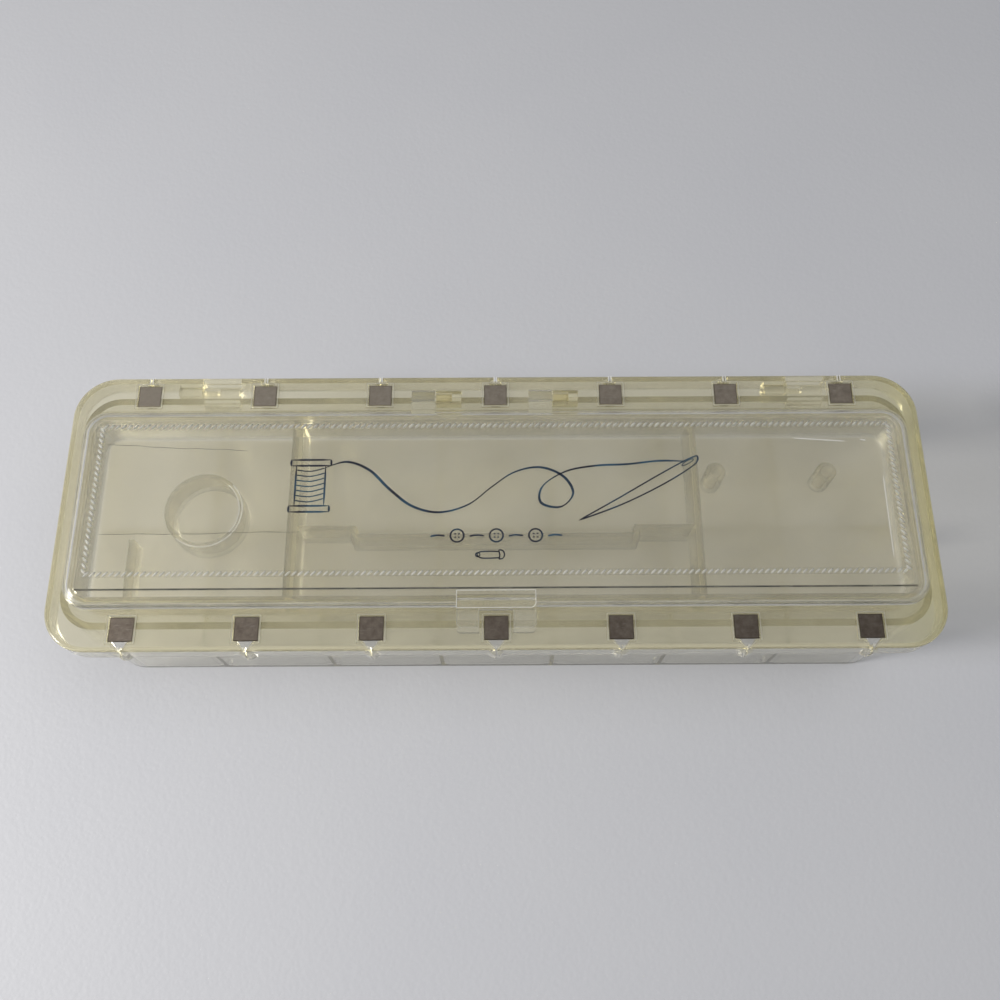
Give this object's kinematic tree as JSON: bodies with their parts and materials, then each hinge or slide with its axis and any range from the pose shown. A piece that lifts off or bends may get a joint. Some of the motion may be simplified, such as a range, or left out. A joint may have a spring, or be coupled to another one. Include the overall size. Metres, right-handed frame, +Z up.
{
  "type": "thread spool storage box",
  "caption": "Clear rectangular sewing thread box with divided spool bays, a hinged notions tray whose wide rim carries square thread cutters, and a hinged lid with a raised panel.",
  "frame": {"origin": "on the table under the middle of the box", "axes": "+X along the box to the right, +Y to the hinged rear, +Z up"},
  "size_m": [0.306, 0.1044, 0.0685],
  "materials": {
    "base_plastic": "clear polystyrene, yellowed with age",
    "tray_plastic": "clear polystyrene, yellowed with age",
    "lid_plastic": "clear polystyrene, lightly yellowed, fine wear scratches",
    "cutter_steel": "dull grey-brown satin sheet steel",
    "print_foil": "dark blue-black stamped foil line drawing"
  },
  "bodies": {
    "base": {"base_box": "base_plastic"},
    "tray": {"tray_frame": "tray_plastic", "thread_cutter_front_1": "cutter_steel", "thread_cutter_front_2": "cutter_steel", "thread_cutter_front_3": "cutter_steel", "thread_cutter_front_4": "cutter_steel", "thread_cutter_front_5": "cutter_steel", "thread_cutter_front_6": "cutter_steel", "thread_cutter_front_7": "cutter_steel", "thread_cutter_rear_1": "cutter_steel", "thread_cutter_rear_2": "cutter_steel", "thread_cutter_rear_3": "cutter_steel", "thread_cutter_rear_4": "cutter_steel", "thread_cutter_rear_5": "cutter_steel", "thread_cutter_rear_6": "cutter_steel", "thread_cutter_rear_7": "cutter_steel"},
    "lid": {"lid": "lid_plastic"}
  },
  "joints": [
    {"name": "tray_hinge", "type": "hinge", "parent": "base", "child": "tray", "pos_m": [0, 0.04685, 0.0562], "axis": [-1, 0, 0], "range_deg": [0, 105]},
    {"name": "lid_hinge", "type": "hinge", "parent": "tray", "child": "lid", "pos_m": [0, 0.041, 0.06525], "axis": [-1, 0, 0], "range_deg": [0, 110]}
  ]
}
